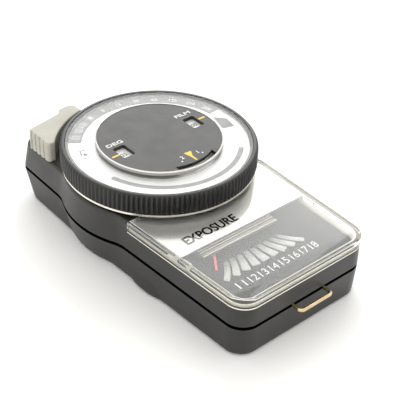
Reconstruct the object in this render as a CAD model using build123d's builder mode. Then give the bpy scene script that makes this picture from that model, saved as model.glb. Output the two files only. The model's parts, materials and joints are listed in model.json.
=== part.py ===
"""Handheld light meter: a calculator dial on a black two-shell casing with a clear reading window.

The meter lies on its back. The origin is where the dial axis meets the rest plane, +Z points up out of the
dial, +Y points to the sensor head and -Y to the reading window and the strap loop. Millimetres throughout.
"""

import os
from math import cos, radians, sin

from build123d import *

os.makedirs("parts", exist_ok=True)

# ---------------------------------------------------------------- driving dimensions
SEAM_Z = 10.4  # parting line between the two shells
DECK_Z = 20.4  # flat top of the upper shell
LEDGE_Z = 16.9  # rim of the upper shell that the clear cover stands on
SEAM_GAP = 1.1  # visible groove between the shells
WALL = 1.8  # casing wall

HEAD_END = 38.0  # far face of the sensor head, at the parting line
HEAD_LEAN = 1.6  # how far that face leans back up to the deck
NEAR_END = -64.4  # near face, at the strap loop
HEAD_HALF = 25.8  # half width of the head
NECK_HALF = 27.0  # half width where the sides pass the dial
NEAR_HALF = 24.25  # half width at the near end
BULGE_RADIUS = 30.2  # round casing section below the dial
COVER_END = -17.9  # far edge of the clear cover
PLATE_END = -38.8  # near edge of the faceplate, and so the window's far edge

DIAL_RADIUS = 30.0  # crest of the knurled ring
DIAL_TOP = 28.9  # top of the ring's rim
KNURL_BOTTOM = 22.4
CLEAR_RADIUS = 28.3  # clear disc, inside the ring's rim
CENTRE_RADIUS = 19.3  # black film-speed disc
CENTRE_TOP = 30.0
DISC_SEAT_Z = 26.4  # shelf in the ring that the scale disc lies on
SCALE_DISC_TOP = 27.0
CLEAR_DISC_Z = 27.7  # underside of the clear disc's web
RING_WEB_Z = 23.6  # top of the ring's web
RING_BOSS_Z = 21.3  # underside of the ring's boss, on the wave washer

PIVOT = (-5.0, -28.5)  # needle axis
NEEDLE_Z = 17.55  # middle of the needle
NEEDLE_LENGTH = 23.2
NEEDLE_REST = 235.0  # direction of the needle at its left stop, degrees from +X

SHAFT_CLEARANCE = 0.05  # radial clearance of every running fit


def save(part, name):
    """Label a finished piece and write it as parts/NAME.step."""
    part.label = name
    export_step(part, f"parts/{name}.step")


def polar(radius, angle, centre=(0.0, 0.0)):
    """Point at a radius and an angle in degrees from a centre."""
    return (centre[0] + radius * cos(radians(angle)), centre[1] + radius * sin(radians(angle)))


# ---------------------------------------------------------------- casing outline
def casing_outline(inset=0.0, bulge=BULGE_RADIUS, head_end=HEAD_END, corner=6.0, head_corner=3.2):
    """Plan of the casing as a flat face: a rounded tapering bar with a round section below the dial."""
    head = HEAD_HALF - inset
    neck = NECK_HALF - inset
    near = NEAR_HALF - inset
    far_y = head_end - inset
    near_y = NEAR_END + inset
    with BuildSketch() as plan:
        with BuildLine():
            Polyline(
                (-head, far_y),
                (head, far_y),
                (neck, 0),
                (near, near_y),
                (-near, near_y),
                (-neck, 0),
                close=True,
            )
        make_face()
        Circle(bulge - inset)
        fillet([v for v in plan.vertices() if v.Y < near_y + 1], corner - inset)
        fillet([v for v in plan.vertices() if v.Y > far_y - 1], max(head_corner - inset, 0.8))
        joins = [v for v in plan.vertices() if abs(v.X) > 20 and 8 < abs(v.Y) < 22]
        fillet(joins, 11.0 + inset)
    return plan.sketch


def side_x(y, inset=0.0):
    """Half width of the tapering window section at y, measured inside the outer wall by inset."""
    return NECK_HALF + (NEAR_HALF - NECK_HALF) * y / NEAR_END - inset


# ---------------------------------------------------------------- window stack, from the ledge up
SCALE_Z = 16.3  # underside of the scale plate
SCALE_THICKNESS = 0.6
CLAMP_Z = 17.75  # underside of the clamp bar, just above the needle
CLAMP_THICKNESS = 0.7
FACEPLATE_Z = 18.9
FACEPLATE_THICKNESS = 0.45

# ---------------------------------------------------------------- fasteners' places
CASE_SCREWS = [(-22.0, 10.0), (22.0, 10.0), (-18.8, -58.6), (18.8, -58.6)]
BOSS_RADIUS = 2.6
POST_FOOT = WALL - 0.2  # bosses and posts start a little below the floor's inner face
SCREW_RADIUS = 1.0
SCREW_HEAD_RADIUS = 1.9
SCREW_HEAD_TOP = 2.0
SCREW_TIP = 15.0
MOVEMENT_SCREWS = [(PIVOT[0] - 12.5, PIVOT[1] - 3.5), (PIVOT[0] + 12.5, PIVOT[1] - 3.5)]
BOARD_POSTS = [(-20.0, 31.0), (18.0, 31.5), (-20.0, 16.0)]
BOSS_SPLIT = SEAM_Z - 0.2  # where the screw bosses of the two shells meet
FRAME_Z = 6.4  # underside of the movement frame
BOARD_Z = 11.4  # underside of the circuit board

# ---------------------------------------------------------------- battery
BATTERY = (11.0, 20.0)
CELL_RADIUS = 7.8
CELL_HEIGHT = 5.9
CAP_RADIUS = 9.0
CAP_THICKNESS = 1.8
CELL_BOTTOM = 3.0

# ---------------------------------------------------------------- strap loop
LOOP_WIRE = 0.55
LOOP_X = 0.7
LOOP_HALF = 6.0
LOOP_REACH = 3.9  # how far the crossbar stands out of the near face

# ---------------------------------------------------------------- lower shell
HEEL = (24.3, -25.0)  # middle of the swelling that ends the finger grip, on each side
HEEL_HALF = (3.0, 8.5)
HEEL_RISE = 7.0
HEEL_BLEND = 4.0  # radius that runs the heel into the side wall
FOOT_RADIUS = 1.5
LOWER_TOP = SEAM_Z - SEAM_GAP / 2
UPPER_BOTTOM = SEAM_Z + SEAM_GAP / 2
TONGUE_RISE = 1.4
TONGUE_INSET = 1.25  # from the casing's outline to the tongue's outer face
with BuildPart() as lower_shell:
    with BuildSketch(Plane.XY) as foot:
        add(casing_outline(inset=0.25, bulge=28.0, head_end=HEAD_END - 1.8, corner=6.5, head_corner=7.0))
    with BuildSketch(Plane.XY.offset(LOWER_TOP)) as rim:
        add(casing_outline())
    loft(ruled=True)
    # A low heel on each side ends the finger grip in front of the window section.
    with BuildSketch(Plane.XY) as heels:
        for side in (-1, 1):
            with Locations((side * HEEL[0], HEEL[1])):
                Ellipse(*HEEL_HALF)
    extrude(amount=HEEL_RISE, taper=20)
    heel_edges = [
        edge
        for edge in lower_shell.edges()
        if 1 < edge.center().Z < 8 and abs(edge.center().Y - HEEL[1]) < 10 and 6 < edge.length < 12
    ]
    fillet(heel_edges, HEEL_BLEND)
    fillet(lower_shell.faces().sort_by(Axis.Z)[0].edges(), FOOT_RADIUS)
    with BuildSketch(Plane.XY.offset(WALL)) as inner_foot:
        add(casing_outline(inset=WALL + 0.4, bulge=28.4, head_end=HEAD_END - 1.6, corner=6.5, head_corner=7.0))
    with BuildSketch(Plane.XY.offset(LOWER_TOP)) as inner_rim:
        add(casing_outline(inset=WALL))
    loft(ruled=True, mode=Mode.SUBTRACT)
    # The tongue stands up inside the upper shell and closes the groove.
    with BuildSketch(Plane.XY.offset(LOWER_TOP - 2.0)) as tongue:
        add(casing_outline(inset=TONGUE_INSET))
        add(casing_outline(inset=WALL), mode=Mode.SUBTRACT)
    extrude(amount=2.0 + TONGUE_RISE)
    # Screw bosses, with the head recess and the clearance hole.
    with BuildSketch(Plane.XY.offset(POST_FOOT)) as bosses:
        with Locations(*CASE_SCREWS):
            Circle(BOSS_RADIUS)
    extrude(amount=BOSS_SPLIT - POST_FOOT)
    with BuildSketch(Plane.XY) as recesses:
        with Locations(*CASE_SCREWS):
            Circle(SCREW_HEAD_RADIUS + 0.15)
    extrude(amount=SCREW_HEAD_TOP + 0.05, mode=Mode.SUBTRACT)
    with BuildSketch(Plane.XY) as screw_holes:
        with Locations(*CASE_SCREWS):
            Circle(SCREW_RADIUS + 0.1)
    extrude(amount=SEAM_Z + 2, mode=Mode.SUBTRACT)
    # Battery well: a tube on the floor, and a stepped opening for the cap.
    with BuildSketch(Plane.XY.offset(POST_FOOT)) as well:
        with Locations(BATTERY):
            Circle(CAP_RADIUS + 1.4)
            Circle(CELL_RADIUS + 0.25, mode=Mode.SUBTRACT)
    extrude(amount=CELL_BOTTOM + CELL_HEIGHT - WALL)
    with BuildSketch(Plane.XY) as cap_opening:
        with Locations(BATTERY):
            Circle(CAP_RADIUS + SHAFT_CLEARANCE)
    extrude(amount=CAP_THICKNESS + 0.35, mode=Mode.SUBTRACT)
    with BuildSketch(Plane.XY) as cell_opening:
        with Locations(BATTERY):
            Circle(CELL_RADIUS + 0.25)
    extrude(amount=CELL_BOTTOM + CELL_HEIGHT, mode=Mode.SUBTRACT)
    # Slot through the well's wall for the side contact.
    with BuildSketch(Plane.XY.offset(4.0)) as contact_slot:
        with Locations((BATTERY[0] - CAP_RADIUS - 0.2, BATTERY[1])):
            Rectangle(4.0, 5.0)
    extrude(amount=6.0, mode=Mode.SUBTRACT)
    # Posts for the movement frame and the circuit board.
    with BuildSketch(Plane.XY.offset(POST_FOOT)) as frame_posts:
        with Locations(*MOVEMENT_SCREWS):
            Circle(2.2)
    extrude(amount=FRAME_Z - POST_FOOT)
    with BuildSketch(Plane.XY.offset(WALL + 1.0)) as frame_screw_holes:
        with Locations(*MOVEMENT_SCREWS):
            Circle(0.85)
    extrude(amount=FRAME_Z, mode=Mode.SUBTRACT)
    with BuildSketch(Plane.XY.offset(POST_FOOT)) as board_posts:
        with Locations(*BOARD_POSTS):
            Circle(1.6)
    extrude(amount=BOARD_Z - POST_FOOT)
    # Bearing for the zero adjuster.
    with BuildSketch(Plane.XY.offset(POST_FOOT)) as adjuster_boss:
        with Locations(PIVOT):
            Circle(4.2)
    extrude(amount=2.2)
    with BuildSketch(Plane.XY) as adjuster_hole:
        with Locations(PIVOT):
            Circle(2.5 + SHAFT_CLEARANCE)
    extrude(amount=4.0, mode=Mode.SUBTRACT)
    # Half of the strap loop's seat.
    for leg in (-LOOP_HALF, LOOP_HALF):
        with BuildSketch(Plane.XZ.offset(-NEAR_END + 0.5)) as loop_seat:
            with Locations((LOOP_X + leg, SEAM_Z)):
                Circle(LOOP_WIRE + 0.02)
        extrude(amount=-4.0, mode=Mode.SUBTRACT)
save(lower_shell.part, "lower_shell")

# ---------------------------------------------------------------- upper shell
BUSH_RADIUS = 5.0
BUTTON_Y = -30.0
BUTTON_Z = 13.2
BUTTON_WIDTH = 9.0
BUTTON_HEIGHT = 3.6
KNOB_STEM = (-19.0, 27.2)
KNOB_STEM_SIZE = (2.4, 3.0)
KNOB_TRAVEL = 3.5
CELL_Z = 15.3  # optical axis of the light cell
RAIL_BOTTOM = 15.2  # underside of the rails that carry the faceplate
SCALE_LEDGE = 1.4  # depth of the ledge that carries the scale plate
CELL_WINDOW = (22.0, 5.6)
LENS_FRONT = 37.7
LENS_BACK = 34.4  # where the lens meets the cell holder
HOLDER_DEPTH = 1.9


def window_strip(outer_inset, inner_inset, far_y, near_y):
    """Flat strip that follows the casing wall between two y limits."""
    with BuildSketch() as strip:
        add(casing_outline(inset=outer_inset))
        add(casing_outline(inset=inner_inset), mode=Mode.SUBTRACT)
        with Locations((0, (far_y + near_y) / 2)):
            Rectangle(80, far_y - near_y, mode=Mode.INTERSECT)
    return strip.sketch


with BuildPart() as upper_shell:
    with BuildSketch(Plane.XY.offset(UPPER_BOTTOM)) as upper_rim:
        add(casing_outline())
    with BuildSketch(Plane.XY.offset(DECK_Z)) as deck:
        add(casing_outline(inset=0.2, bulge=29.6, head_end=HEAD_END - HEAD_LEAN, head_corner=4.5))
    loft(ruled=True)
    fillet(upper_shell.faces().sort_by(Axis.Z)[-1].edges(), radius=1.0)
    # Step down to the ledge of the clear cover.
    with BuildSketch(Plane.XY.offset(LEDGE_Z)) as cover_seat:
        with Locations((0, COVER_END - 30)):
            Rectangle(80, 60)
    extrude(amount=DECK_Z, mode=Mode.SUBTRACT)
    # Hollow, open at the bottom and through the window section.
    with BuildSketch(Plane.XY.offset(UPPER_BOTTOM)) as hollow_rim:
        add(casing_outline(inset=WALL))
    with BuildSketch(Plane.XY.offset(DECK_Z - WALL)) as hollow_top:
        add(casing_outline(inset=WALL + 0.2, bulge=29.6, head_end=HEAD_END - HEAD_LEAN, head_corner=4.5))
    loft(ruled=True, mode=Mode.SUBTRACT)
    # Rebate for the lower shell's tongue.
    with BuildSketch(Plane.XY.offset(UPPER_BOTTOM)) as rebate:
        add(casing_outline(inset=TONGUE_INSET - 0.05))
    extrude(amount=TONGUE_RISE - SEAM_GAP + 0.05, mode=Mode.SUBTRACT)
    # Rails under the faceplate, and the ledge under the scale plate.
    with BuildSketch(Plane.XY.offset(RAIL_BOTTOM)) as rails:
        add(window_strip(1.75, 3.1, COVER_END + 0.5, PLATE_END + 2.6))
    extrude(amount=FACEPLATE_Z - RAIL_BOTTOM)
    with BuildSketch(Plane.XY.offset(SCALE_Z - SCALE_LEDGE)) as scale_ledge:
        add(window_strip(1.7, 3.5, PLATE_END + 2.5, NEAR_END))
    extrude(amount=SCALE_LEDGE)
    # Screw bosses.
    with BuildSketch(Plane.XY.offset(BOSS_SPLIT + 0.05)) as far_bosses:
        with Locations(*CASE_SCREWS[:2]):
            Circle(BOSS_RADIUS)
    extrude(amount=DECK_Z - 1.0 - BOSS_SPLIT)
    with BuildSketch(Plane.XY.offset(BOSS_SPLIT + 0.05)) as near_bosses:
        with Locations(*CASE_SCREWS[2:]):
            Circle(BOSS_RADIUS)
    extrude(amount=SCALE_Z - 0.1 - BOSS_SPLIT)
    with BuildSketch(Plane.XY.offset(BOSS_SPLIT)) as pilot_holes:
        with Locations(*CASE_SCREWS):
            Circle(SCREW_RADIUS + 0.02)
    extrude(amount=SCREW_TIP - BOSS_SPLIT + 0.5, mode=Mode.SUBTRACT)
    # Hole for the dial bush, and the range knob's slot.
    with BuildSketch(Plane.XY.offset(DECK_Z - 4)) as bush_hole:
        Circle(BUSH_RADIUS)
        with Locations((KNOB_STEM[0], KNOB_STEM[1] + KNOB_TRAVEL / 2)):
            Rectangle(KNOB_STEM_SIZE[0] + 0.3, KNOB_STEM_SIZE[1] + KNOB_TRAVEL + 0.3)
    extrude(amount=5, mode=Mode.SUBTRACT)
    # Window of the light cell, in the far wall.
    with BuildSketch(Plane.XZ.offset(-HEAD_END - 1)) as cell_opening_far:
        with Locations((0, CELL_Z)):
            RectangleRounded(*CELL_WINDOW, 1.0)
    extrude(amount=HEAD_END + 1 - LENS_BACK, mode=Mode.SUBTRACT)
    # Opening for the measure button, in the right wall.
    with BuildSketch(Plane.YZ.offset(side_x(BUTTON_Y) - 3)) as button_opening:
        with Locations((BUTTON_Y, BUTTON_Z)):
            RectangleRounded(BUTTON_WIDTH + 0.2, BUTTON_HEIGHT + 0.2, 1.2)
    extrude(amount=5, mode=Mode.SUBTRACT)
    for leg in (-LOOP_HALF, LOOP_HALF):
        with BuildSketch(Plane.XZ.offset(-NEAR_END + 0.5)) as upper_loop_seat:
            with Locations((LOOP_X + leg, SEAM_Z)):
                Circle(LOOP_WIRE + 0.02)
        extrude(amount=-4.0, mode=Mode.SUBTRACT)
save(upper_shell.part, "upper_shell")

# ---------------------------------------------------------------- clear cover, faceplate and scale
COVER_WALL = 1.5
COVER_SKIN = 1.0


def window_section(inset, far_y):
    """Plan of the casing's window section, cut off square at its far edge."""
    with BuildSketch() as section:
        add(casing_outline(inset=inset))
        with Locations((0, far_y - 40)):
            Rectangle(80, 80, mode=Mode.INTERSECT)
    return section.sketch


with BuildPart() as clear_cover:
    with BuildSketch(Plane.XY.offset(LEDGE_Z)) as cover_plan:
        add(window_section(0.05, COVER_END - 0.05))
    extrude(amount=DECK_Z - LEDGE_Z)
    top_edges = clear_cover.faces().sort_by(Axis.Z)[-1].edges()
    fillet(top_edges.filter_by(lambda edge: edge.center().Y < COVER_END - 1), 0.6)
    with BuildSketch(Plane.XY.offset(LEDGE_Z)) as cover_hollow:
        add(window_section(COVER_WALL, COVER_END + 5))
    extrude(amount=DECK_Z - COVER_SKIN - LEDGE_Z, mode=Mode.SUBTRACT)
    # Moulded pegs in the cover's side walls, level with the faceplate's near edge.
    with BuildSketch(Plane.XY.offset(LEDGE_Z)) as pegs:
        for side in (-1, 1):
            with Locations((side * (side_x(PLATE_END) - 1.6), PLATE_END - 2.45)):
                SlotOverall(4.6, 1.5, rotation=90)
    extrude(amount=DECK_Z - COVER_SKIN - LEDGE_Z + 0.2)
save(clear_cover.part, "clear_cover")

with BuildPart() as faceplate:
    with BuildSketch(Plane.XY.offset(FACEPLATE_Z)) as plate_plan:
        add(window_section(1.7, COVER_END - 0.1))
        with Locations((0, PLATE_END - 20)):
            Rectangle(80, 40, mode=Mode.SUBTRACT)
    extrude(amount=FACEPLATE_THICKNESS)
save(faceplate.part, "faceplate")

with BuildPart() as scale_plate:
    with BuildSketch(Plane.XY.offset(SCALE_Z)) as scale_plan:
        add(window_section(2.0, PLATE_END + 2.4))
    extrude(amount=SCALE_THICKNESS)
save(scale_plate.part, "scale_plate")

SLATS = 9
SLAT_MIDDLE_X = -3.9
SLAT_TOP_PITCH = 2.4
SLAT_TOP_Y = -45.6
SLAT_FOOT_PITCH = 3.7
SLAT_FOOT_Y = -51.9
SLAT_LEAN = 7.0  # degrees from one slat to the next, at the tops
SLAT_FLARE = 12.5  # the same at the feet
with BuildPart() as scale_slats:
    for index in range(SLATS):
        step = index - (SLATS - 1) / 2
        top = Vector(SLAT_MIDDLE_X + SLAT_TOP_PITCH * step, SLAT_TOP_Y)
        foot = Vector(SLAT_MIDDLE_X + SLAT_FOOT_PITCH * step, SLAT_FOOT_Y)
        reach = (foot - top).length / 3
        first = top + Vector(*polar(reach, 270 + SLAT_LEAN * step))
        second = foot - Vector(*polar(reach, 270 + SLAT_FLARE * step))
        with BuildSketch(Plane.XY.offset(SCALE_Z + SCALE_THICKNESS)) as slat:
            with BuildLine():
                edges = []
                for side in (-1, 1):
                    narrow = Vector(0.8 * side, 0)
                    wide = Vector(1.25 * side, 0)
                    edges.append(Bezier(top + narrow, first + narrow, second + wide, foot + wide))
                Line(edges[0] @ 0, edges[1] @ 0)
                Line(edges[0] @ 1, edges[1] @ 1)
            make_face()
        extrude(amount=0.25)
save(scale_slats.part, "scale_slats")

CLAMP_FAR = PLATE_END - 0.15
CLAMP_WIDTH = 3.1
CLAMP_GROOVES = ((0.65, 0.5), (1.95, 1.3))  # distance from the bar's far edge, and width
with BuildPart() as clamp_bar:
    with BuildSketch(Plane.XY.offset(CLAMP_Z)) as bar_plan:
        with Locations((-4.1, CLAMP_FAR - CLAMP_WIDTH / 2)):
            Rectangle(28.0, CLAMP_WIDTH)
        for x in (-17.2, 9.0):
            with Locations((x, CLAMP_FAR + 2.4)):
                Rectangle(1.8, 5.2)
        with Locations((14.0, CLAMP_FAR + 4.1)):
            Rectangle(11.8, 1.8)
    extrude(amount=CLAMP_THICKNESS)
    with BuildSketch(Plane.XY.offset(CLAMP_Z + CLAMP_THICKNESS - 0.25)) as bar_grooves:
        for drop, width in CLAMP_GROOVES:
            with Locations((-4.1, CLAMP_FAR - drop)):
                Rectangle(30.0, width)
    extrude(amount=0.4, mode=Mode.SUBTRACT)
save(clamp_bar.part, "clamp_bar")

# ---------------------------------------------------------------- dial
SPINDLE_RADIUS = 1.5
SLEEVE_RADIUS = 3.0
BUSH_BOTTOM = 16.8
BUSH_FLANGE_RADIUS = 8.0
with BuildPart() as dial_bush:
    with BuildSketch(Plane.XY.offset(BUSH_BOTTOM)) as barrel:
        Circle(BUSH_RADIUS)
    extrude(amount=DECK_Z - BUSH_BOTTOM)
    with BuildSketch(Plane.XY.offset(DECK_Z)) as bush_flange:
        Circle(BUSH_FLANGE_RADIUS)
    extrude(amount=0.5)
    Hole(radius=SLEEVE_RADIUS)
save(dial_bush.part, "dial_bush")

NUT_Z = 17.0
NUT_RADIUS = 7.6
with BuildPart() as bush_nut:
    with BuildSketch(Plane.XY.offset(NUT_Z)) as nut_plan:
        RegularPolygon(radius=NUT_RADIUS, side_count=6)
        Circle(BUSH_RADIUS + 0.02, mode=Mode.SUBTRACT)
    extrude(amount=DECK_Z - WALL - NUT_Z)
save(bush_nut.part, "bush_nut")

WASHER_THICKNESS = 0.3
with BuildPart() as wave_washer:
    with BuildSketch(Plane.XY.offset(RING_BOSS_Z - WASHER_THICKNESS - 0.05)) as washer_plan:
        Circle(BUSH_FLANGE_RADIUS - 0.4)
        Circle(5.2, mode=Mode.SUBTRACT)
    extrude(amount=WASHER_THICKNESS)
save(wave_washer.part, "wave_washer")

SLEEVE_BOTTOM = 15.4
SLEEVE_GROOVE_Z = 16.1
SLEEVE_GROOVE_DEPTH = 0.4
WELL_RADIUS = 26.5  # inner edge of the shelf that the scale disc lies on
with BuildPart() as dial_ring:
    with BuildSketch(Plane.XZ) as ring_profile:
        with BuildLine():
            Polyline(
                (SPINDLE_RADIUS, SLEEVE_BOTTOM),
                (SLEEVE_RADIUS - SHAFT_CLEARANCE, SLEEVE_BOTTOM),
                (SLEEVE_RADIUS - SHAFT_CLEARANCE, RING_BOSS_Z),
                (BUSH_FLANGE_RADIUS, RING_BOSS_Z),
                (BUSH_FLANGE_RADIUS, KNURL_BOTTOM),
                (DIAL_RADIUS, KNURL_BOTTOM),
                (DIAL_RADIUS, DIAL_TOP - 0.6),
                (DIAL_RADIUS - 0.5, DIAL_TOP),
                (CLEAR_RADIUS + 0.1, DIAL_TOP),
                (CLEAR_RADIUS + 0.1, DISC_SEAT_Z),
                (WELL_RADIUS, DISC_SEAT_Z),
                (WELL_RADIUS, RING_WEB_Z),
                (SPINDLE_RADIUS, RING_WEB_Z),
                close=True,
            )
        make_face()
    revolve(axis=Axis.Z)
    # Groove for the retaining clip.
    with BuildSketch(Plane.XY.offset(SLEEVE_GROOVE_Z)) as sleeve_groove:
        Circle(SLEEVE_RADIUS + 1)
        Circle(SLEEVE_RADIUS - SLEEVE_GROOVE_DEPTH, mode=Mode.SUBTRACT)
    extrude(amount=0.45, mode=Mode.SUBTRACT)
save(dial_ring.part, "dial_ring")

TRIM_RADII = (25.5, 29.75)
TRIM_THICKNESS = 0.65
with BuildPart() as trim_ring:
    with BuildSketch(Plane.XY.offset(KNURL_BOTTOM - TRIM_THICKNESS)) as trim_plan:
        Circle(TRIM_RADII[1])
        Circle(TRIM_RADII[0], mode=Mode.SUBTRACT)
    extrude(amount=TRIM_THICKNESS)
save(trim_ring.part, "trim_ring")

HUB_RADIUS = 3.5
PLATEAU_RADIUS = 16.6
PLATEAU_TOP = 28.6  # raised middle that carries the film-speed numbers, just below the black disc
with BuildPart() as scale_disc:
    with BuildSketch(Plane.XY.offset(DISC_SEAT_Z)) as scale_disc_plan:
        Circle(CLEAR_RADIUS)
    extrude(amount=SCALE_DISC_TOP - DISC_SEAT_Z)
    with BuildSketch(Plane.XY.offset(DISC_SEAT_Z)) as plateau_plan:
        Circle(PLATEAU_RADIUS)
    extrude(amount=PLATEAU_TOP - DISC_SEAT_Z)
    Hole(radius=HUB_RADIUS + 0.5)
save(scale_disc.part, "scale_disc")

with BuildPart() as clear_disc:
    with BuildSketch(Plane.XY.offset(CLEAR_DISC_Z)) as clear_disc_plan:
        Circle(CLEAR_RADIUS)
        Circle(17.0, mode=Mode.SUBTRACT)
    extrude(amount=1.0)
    with BuildSketch(Plane.XY.offset(SCALE_DISC_TOP)) as clear_disc_foot:
        Circle(CLEAR_RADIUS)
        Circle(27.4, mode=Mode.SUBTRACT)
    extrude(amount=0.8)
save(clear_disc.part, "clear_disc")

with BuildPart() as ring_clip:
    with BuildSketch(Plane.XY.offset(SLEEVE_GROOVE_Z + 0.05)) as ring_clip_plan:
        Circle(4.4)
        Circle(SLEEVE_RADIUS - SLEEVE_GROOVE_DEPTH, mode=Mode.SUBTRACT)
        with Locations((0, 3.4)):
            Rectangle(2.6, 3.0, mode=Mode.SUBTRACT)
    extrude(amount=0.35)
save(ring_clip.part, "ring_clip")

SPEED_WINDOW_X = 13.4
INDEX_INNER = 17.0  # the index opening's inner edge, concentric with the disc
INDEX_HALF = 7.2
SPEED_DISC_BOTTOM = 28.8
HUB_BOTTOM = 27.4
SPINDLE_TOP = 29.4
RIM_WIDTH = 0.45
FACE_DROP = 0.08  # the printed face lies a little below the rim
with BuildPart() as speed_disc:
    with BuildSketch(Plane.XY.offset(SPEED_DISC_BOTTOM)) as cap_plan:
        Circle(CENTRE_RADIUS)
    extrude(amount=CENTRE_TOP - SPEED_DISC_BOTTOM)
    chamfer(speed_disc.faces().sort_by(Axis.Z)[-1].edges(), 0.3)
    with BuildSketch(Plane.XY.offset(CENTRE_TOP - FACE_DROP)) as face_recess:
        Circle(CENTRE_RADIUS - RIM_WIDTH)
    extrude(amount=FACE_DROP, mode=Mode.SUBTRACT)
    with BuildSketch(Plane.XY.offset(HUB_BOTTOM)) as cap_hub:
        Circle(HUB_RADIUS)
    extrude(amount=SPEED_DISC_BOTTOM - HUB_BOTTOM)
    # Two number windows, and the curved index opening along the rim.
    with BuildSketch(Plane.XY.offset(SPEED_DISC_BOTTOM)) as cap_windows:
        for side in (-1, 1):
            with Locations((side * SPEED_WINDOW_X, 0)):
                RectangleRounded(4.2, 6.0, 0.6)
    extrude(amount=CENTRE_TOP - SPEED_DISC_BOTTOM, mode=Mode.SUBTRACT)
    with BuildSketch(Plane.XY.offset(SPEED_DISC_BOTTOM)) as index_opening:
        Circle(CENTRE_RADIUS - RIM_WIDTH)
        Circle(INDEX_INNER, mode=Mode.SUBTRACT)
        with Locations((0.5, -CENTRE_RADIUS)):
            Rectangle(2 * INDEX_HALF, 20, mode=Mode.INTERSECT)
    extrude(amount=CENTRE_TOP - SPEED_DISC_BOTTOM, mode=Mode.SUBTRACT)
    with BuildSketch(Plane.XY.offset(HUB_BOTTOM)) as spindle_socket:
        Circle(SPINDLE_RADIUS - SHAFT_CLEARANCE)
    extrude(amount=SPINDLE_TOP - HUB_BOTTOM, mode=Mode.SUBTRACT)
save(speed_disc.part, "speed_disc")

SPINDLE_BOTTOM = 14.2
SPINDLE_GROOVE_Z = 14.7
SPINDLE_NECK = 1.1  # radius left inside the groove
with BuildPart() as speed_spindle:
    with BuildSketch(Plane.XY.offset(SPINDLE_BOTTOM)) as spindle_plan:
        Circle(SPINDLE_RADIUS - SHAFT_CLEARANCE)
    extrude(amount=SPINDLE_TOP - SPINDLE_BOTTOM)
    with BuildSketch(Plane.XY.offset(SPINDLE_GROOVE_Z)) as spindle_groove:
        Circle(SPINDLE_RADIUS + 1)
        Circle(SPINDLE_NECK, mode=Mode.SUBTRACT)
    extrude(amount=0.4, mode=Mode.SUBTRACT)
save(speed_spindle.part, "speed_spindle")

with BuildPart() as spindle_clip:
    with BuildSketch(Plane.XY.offset(SPINDLE_GROOVE_Z + 0.05)) as spindle_clip_plan:
        Circle(2.8)
        Circle(SPINDLE_NECK, mode=Mode.SUBTRACT)
        with Locations((0, 1.9)):
            Rectangle(1.4, 2.2, mode=Mode.SUBTRACT)
    extrude(amount=0.3)
save(spindle_clip.part, "spindle_clip")

# ---------------------------------------------------------------- range knob
KNOB_LEFT = -26.5
KNOB_TOP = 27.0
KNOB_ARC = 31.6  # concave edge, concentric with the dial
STEM_BOTTOM = 13.2
with BuildPart() as range_knob:
    with BuildSketch(Plane.XY.offset(DECK_Z + 0.1)) as knob_plan:
        with BuildLine():
            Polyline(
                (KNOB_LEFT, 19.0),
                (KNOB_LEFT, 31.0),
                (-14.0, 33.4),
                (-12.2, 35.4),
                (-8.6, 35.6),
                (-7.0, 34.2),
                (-7.0, 20.0),
                (KNOB_LEFT, 19.0),
            )
        make_face()
        Circle(KNOB_ARC, mode=Mode.SUBTRACT)
        with Locations((KNOB_LEFT, 18.0)):
            Rectangle(8.0, 4.6, mode=Mode.SUBTRACT)
    extrude(amount=KNOB_TOP - DECK_Z - 0.1)
    near_corner = range_knob.edges().filter_by(Axis.Z).sort_by(Axis.X)[:2].sort_by(Axis.Y)[0]
    fillet(near_corner, 1.2)
    far_corners = range_knob.edges().filter_by(Axis.Z).sort_by(Axis.Y)[-5:]
    fillet(far_corners, 0.9)
    fillet(range_knob.faces().sort_by(Axis.Z)[-1].edges(), 0.4)
    with BuildSketch(Plane.XY.offset(DECK_Z)) as grip_grooves:
        for y in (22.9, 25.1, 27.3, 29.5):
            with Locations((KNOB_LEFT, y)):
                Circle(0.45)
    extrude(amount=KNOB_TOP - DECK_Z + 1, mode=Mode.SUBTRACT)
    with BuildSketch(Plane.XY.offset(STEM_BOTTOM)) as knob_stem:
        with Locations(KNOB_STEM):
            Rectangle(*KNOB_STEM_SIZE)
    extrude(amount=DECK_Z + 1 - STEM_BOTTOM)
save(range_knob.part, "range_knob")

with BuildPart() as range_wiper:
    with BuildSketch(Plane.XY.offset(BOARD_Z + 1.05)) as wiper_plan:
        with Locations(KNOB_STEM):
            Rectangle(2.0, 5.0)
    extrude(amount=STEM_BOTTOM - BOARD_Z - 1.05)
save(range_wiper.part, "range_wiper")

# ---------------------------------------------------------------- light cell
with BuildPart() as cell_window:
    with BuildSketch(Plane.XZ.offset(-LENS_FRONT)) as lens_plan:
        with Locations((0, CELL_Z)):
            RectangleRounded(CELL_WINDOW[0] - 0.1, CELL_WINDOW[1] - 0.1, 1.0)
    extrude(amount=LENS_FRONT - LENS_BACK)
save(cell_window.part, "cell_window")

with BuildPart() as cell_holder:
    with BuildSketch(Plane.XZ.offset(-LENS_BACK)) as holder_plan:
        with Locations((0, CELL_Z)):
            Rectangle(24.0, 5.6)
            Circle(2.5, mode=Mode.SUBTRACT)
    extrude(amount=HOLDER_DEPTH)
save(cell_holder.part, "cell_holder")

with BuildPart() as photocell:
    with BuildSketch(Plane.XZ.offset(HOLDER_DEPTH - LENS_BACK)) as photocell_plan:
        with Locations((0, CELL_Z)):
            Circle(2.8)
    extrude(amount=1.6)
    with BuildSketch(Plane.XY.offset(BOARD_Z + 1.0)) as photocell_leads:
        with Locations((-1.2, LENS_BACK - HOLDER_DEPTH - 0.8), (1.2, LENS_BACK - HOLDER_DEPTH - 0.8)):
            Circle(0.25)
    extrude(amount=CELL_Z - BOARD_Z - 2.5)
save(photocell.part, "photocell")

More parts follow.
